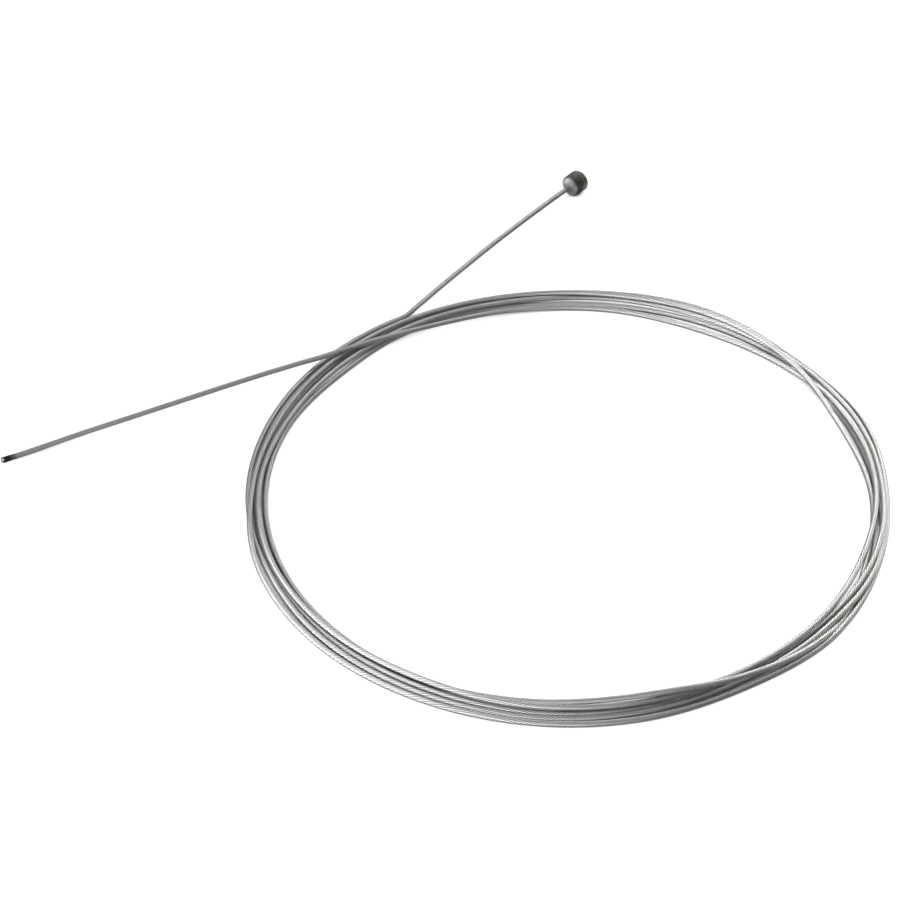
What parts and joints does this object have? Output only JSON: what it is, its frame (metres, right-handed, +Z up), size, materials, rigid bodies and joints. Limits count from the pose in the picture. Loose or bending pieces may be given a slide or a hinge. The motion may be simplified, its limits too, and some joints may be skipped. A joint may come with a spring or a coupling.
{
  "type": "bicycle shift cable",
  "caption": "Thin stranded steel control cable, coiled for storage, with a cast cylindrical head on one end and a fused tip on the other.",
  "frame": {"origin": "middle of the cable's box, on the plane that the cable lies on", "axes": "+X along the longest extent, from the free tip towards the far side of the coil; +Y towards the head; +Z up, along the shortest extent"},
  "size_m": [0.176, 0.1698, 0.005],
  "materials": {
    "strand_steel": "bright drawn steel wires laid as a fine strand",
    "head_metal": "dull grey cast metal with fine marks round its side",
    "fused_steel": "steel blackened by heat"
  },
  "bodies": {
    "root": {"cable_head": "head_metal", "head_tail": "strand_steel", "coil": "strand_steel", "free_tail": "strand_steel", "fused_tip": "fused_steel"}
  },
  "joints": []
}
